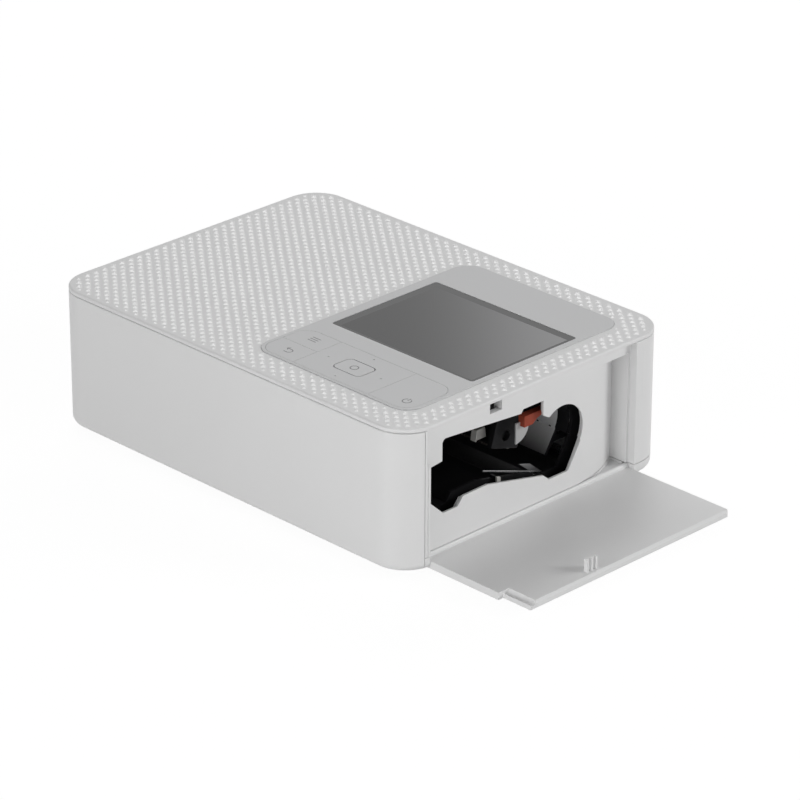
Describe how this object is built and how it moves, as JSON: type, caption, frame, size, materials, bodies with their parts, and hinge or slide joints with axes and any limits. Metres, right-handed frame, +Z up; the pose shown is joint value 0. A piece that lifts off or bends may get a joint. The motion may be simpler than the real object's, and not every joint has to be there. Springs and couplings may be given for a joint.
{
  "type": "compact photo printer",
  "caption": "Compact dye-sublimation photo printer with a hinged ribbon door on the right, a drop-down front door, a top display with keys and a full paper and ribbon drive.",
  "frame": {"origin": "centre of the body's footprint, on the table under the feet", "axes": "+X to the right towards the ribbon door, -Y to the front, +Z up"},
  "size_m": [0.2278, 0.133, 0.0576],
  "materials": {
    "shell": "fine satin",
    "cover": "satin with a raised lattice",
    "panel": "satin",
    "window": "smoked, glossy",
    "dark": "matte",
    "board": "solder mask",
    "rubber": "matte",
    "rubber_light": "matte",
    "steel": "ground",
    "sheet": "black painted sheet",
    "spring": "spring wire",
    "lever": "satin",
    "ceramic": null,
    "aluminium": "extruded",
    "gear": "natural acetal",
    "bush": "natural acetal",
    "motor": "zinc plated can",
    "brass": "machined"
  },
  "bodies": {
    "chassis": {"main_casing": "shell", "bottom_case": "shell", "top_cover": "cover", "control_panel": "panel", "display_window": "window", "screen_module": "dark", "key_board": "board", "rubber_feet": "rubber", "case_screws": "steel", "front_hinge_pins": "steel", "ribbon_hinge_pins": "steel", "lever_spring": "spring", "left_side_plate": "sheet", "right_side_plate": "sheet", "cross_bars": "steel", "front_spool_trough": "dark", "rear_spool_trough": "dark", "paper_guide": "dark", "shaft_bushes": "bush", "feed_motor": "motor", "ribbon_motor": "motor", "lift_motor": "motor", "main_board": "board", "fan_frame": "dark", "power_inlet": "dark", "data_socket": "steel", "card_socket": "steel"},
    "front_door": {"front_door": "shell"},
    "dust_flap": {"dust_flap": "dark"},
    "ribbon_door": {"ribbon_door": "shell"},
    "release_lever": {"release_lever": "lever"},
    "print_unit": {"print_head": "ceramic", "heat_sink": "aluminium", "head_carrier": "dark", "head_pivot_shaft": "steel", "head_sector_gear": "gear"},
    "lift_pinion": {"lift_pinion": "brass"},
    "platen": {"platen_roller": "rubber", "platen_shaft": "steel", "platen_gear": "gear"},
    "capstan": {"capstan_roller": "steel", "capstan_gear": "gear"},
    "pinch_roller": {"pinch_roller": "rubber_light"},
    "pickup": {"pickup_rollers": "rubber", "pickup_shaft": "steel", "pickup_gear": "gear"},
    "feed_idler": {"feed_idler": "gear"},
    "pickup_idler": {"pickup_idler": "gear"},
    "feed_pinion": {"feed_pinion": "brass"},
    "take_up": {"take_up_spindle": "gear", "take_up_gear": "gear"},
    "ribbon_pinion": {"ribbon_pinion": "brass"},
    "supply_spindle": {"supply_spindle": "gear"},
    "fan_impeller": {"fan_impeller": "dark"},
    "menu_key": {"menu_key": "panel"},
    "back_key": {"back_key": "panel"},
    "nav_pad": {"nav_pad": "panel"},
    "ok_key": {"ok_key": "panel"},
    "power_key": {"power_key": "panel"}
  },
  "joints": [
    {"name": "ribbon_door_hinge", "type": "hinge", "parent": "chassis", "child": "ribbon_door", "pos_m": [0.08755, 0, 0.00625], "axis": [0, 1, 0], "range_deg": [-90, 0]},
    {"name": "front_door_hinge", "type": "hinge", "parent": "chassis", "child": "front_door", "pos_m": [0, -0.0629, 0.004], "axis": [1, 0, 0], "range_deg": [0, 90]},
    {"name": "dust_flap_hinge", "type": "hinge", "parent": "chassis", "child": "dust_flap", "pos_m": [0.0229, -0.05915, 0.0174], "axis": [1, 0, 0], "range_deg": [0, 80]},
    {"name": "release_slide", "type": "slide", "parent": "chassis", "child": "release_lever", "axis": [0, 0, 1], "range_m": [0, 0.0036], "stiffness_N_per_m": 150, "springref_m": -0.002, "deforming": ["lever_spring"]},
    {"name": "head_pivot", "type": "hinge", "parent": "chassis", "child": "print_unit", "pos_m": [0.0229, 0.032, 0.034], "axis": [1, 0, 0], "range_deg": [0, 17]},
    {"name": "lift_pinion_spin", "type": "hinge", "parent": "chassis", "child": "lift_pinion", "pos_m": [-0.0403, 0.04876, 0.03104], "axis": [1, 0, 0], "range_deg": [-84, 3]},
    {"name": "feed_idler_spin", "type": "hinge", "parent": "chassis", "child": "feed_idler", "pos_m": [-0.0403, 0.01958, 0.02142], "axis": [1, 0, 0], "continuous": true},
    {"name": "platen_spin", "type": "hinge", "parent": "chassis", "child": "platen", "pos_m": [0.0229, 0.004, 0.0105], "axis": [1, 0, 0], "continuous": true},
    {"name": "capstan_spin", "type": "hinge", "parent": "chassis", "child": "capstan", "pos_m": [0.0229, 0.034, 0.0098], "axis": [1, 0, 0], "continuous": true},
    {"name": "feed_pinion_spin", "type": "hinge", "parent": "chassis", "child": "feed_pinion", "pos_m": [-0.0403, 0.01217, 0.0373], "axis": [1, 0, 0], "continuous": true},
    {"name": "pickup_idler_spin", "type": "hinge", "parent": "chassis", "child": "pickup_idler", "pos_m": [-0.0403, -0.01181, 0.01915], "axis": [1, 0, 0], "continuous": true},
    {"name": "pickup_spin", "type": "hinge", "parent": "chassis", "child": "pickup", "pos_m": [0.0229, -0.03, 0.0136], "axis": [1, 0, 0], "continuous": true},
    {"name": "pinch_roller_spin", "type": "hinge", "parent": "chassis", "child": "pinch_roller", "pos_m": [0.0229, 0.034, 0.0157], "axis": [1, 0, 0], "continuous": true},
    {"name": "take_up_spin", "type": "hinge", "parent": "chassis", "child": "take_up", "pos_m": [-0.034, -0.0439, 0.031], "axis": [1, 0, 0], "continuous": true},
    {"name": "ribbon_pinion_spin", "type": "hinge", "parent": "chassis", "child": "ribbon_pinion", "pos_m": [-0.0403, -0.03393, 0.03937], "axis": [1, 0, 0], "continuous": true},
    {"name": "supply_spindle_spin", "type": "hinge", "parent": "chassis", "child": "supply_spindle", "pos_m": [-0.034, 0.0146, 0.0304], "axis": [1, 0, 0], "continuous": true},
    {"name": "fan_spin", "type": "hinge", "parent": "chassis", "child": "fan_impeller", "pos_m": [-0.0645, 0.06, 0.0217], "axis": [0, 1, 0], "continuous": true},
    {"name": "menu_press", "type": "slide", "parent": "chassis", "child": "menu_key", "axis": [0, 0, -1], "range_m": [0, 0.0004], "stiffness_N_per_m": 1000, "springref_m": -0.0003},
    {"name": "back_press", "type": "slide", "parent": "chassis", "child": "back_key", "axis": [0, 0, -1], "range_m": [0, 0.0004], "stiffness_N_per_m": 1000, "springref_m": -0.0003},
    {"name": "nav_press", "type": "slide", "parent": "chassis", "child": "nav_pad", "axis": [0, 0, -1], "range_m": [0, 0.0004], "stiffness_N_per_m": 1000, "springref_m": -0.0003},
    {"name": "ok_press", "type": "slide", "parent": "chassis", "child": "ok_key", "axis": [0, 0, -1], "range_m": [0, 0.0004], "stiffness_N_per_m": 1000, "springref_m": -0.0003},
    {"name": "power_press", "type": "slide", "parent": "chassis", "child": "power_key", "axis": [0, 0, -1], "range_m": [0, 0.0004], "stiffness_N_per_m": 1000, "springref_m": -0.0003}
  ],
  "couplings": [
    {"joint": "lift_pinion_spin", "follows": "head_pivot", "ratio": -4.6667},
    {"joint": "platen_spin", "follows": "feed_idler_spin", "ratio": -2.8},
    {"joint": "capstan_spin", "follows": "feed_idler_spin", "ratio": -3.1111},
    {"joint": "feed_pinion_spin", "follows": "feed_idler_spin", "ratio": -4},
    {"joint": "pickup_idler_spin", "follows": "feed_idler_spin", "ratio": 1.0769},
    {"joint": "pickup_spin", "follows": "feed_idler_spin", "ratio": -2.3333},
    {"joint": "ribbon_pinion_spin", "follows": "take_up_spin", "ratio": -3.3333}
  ]
}
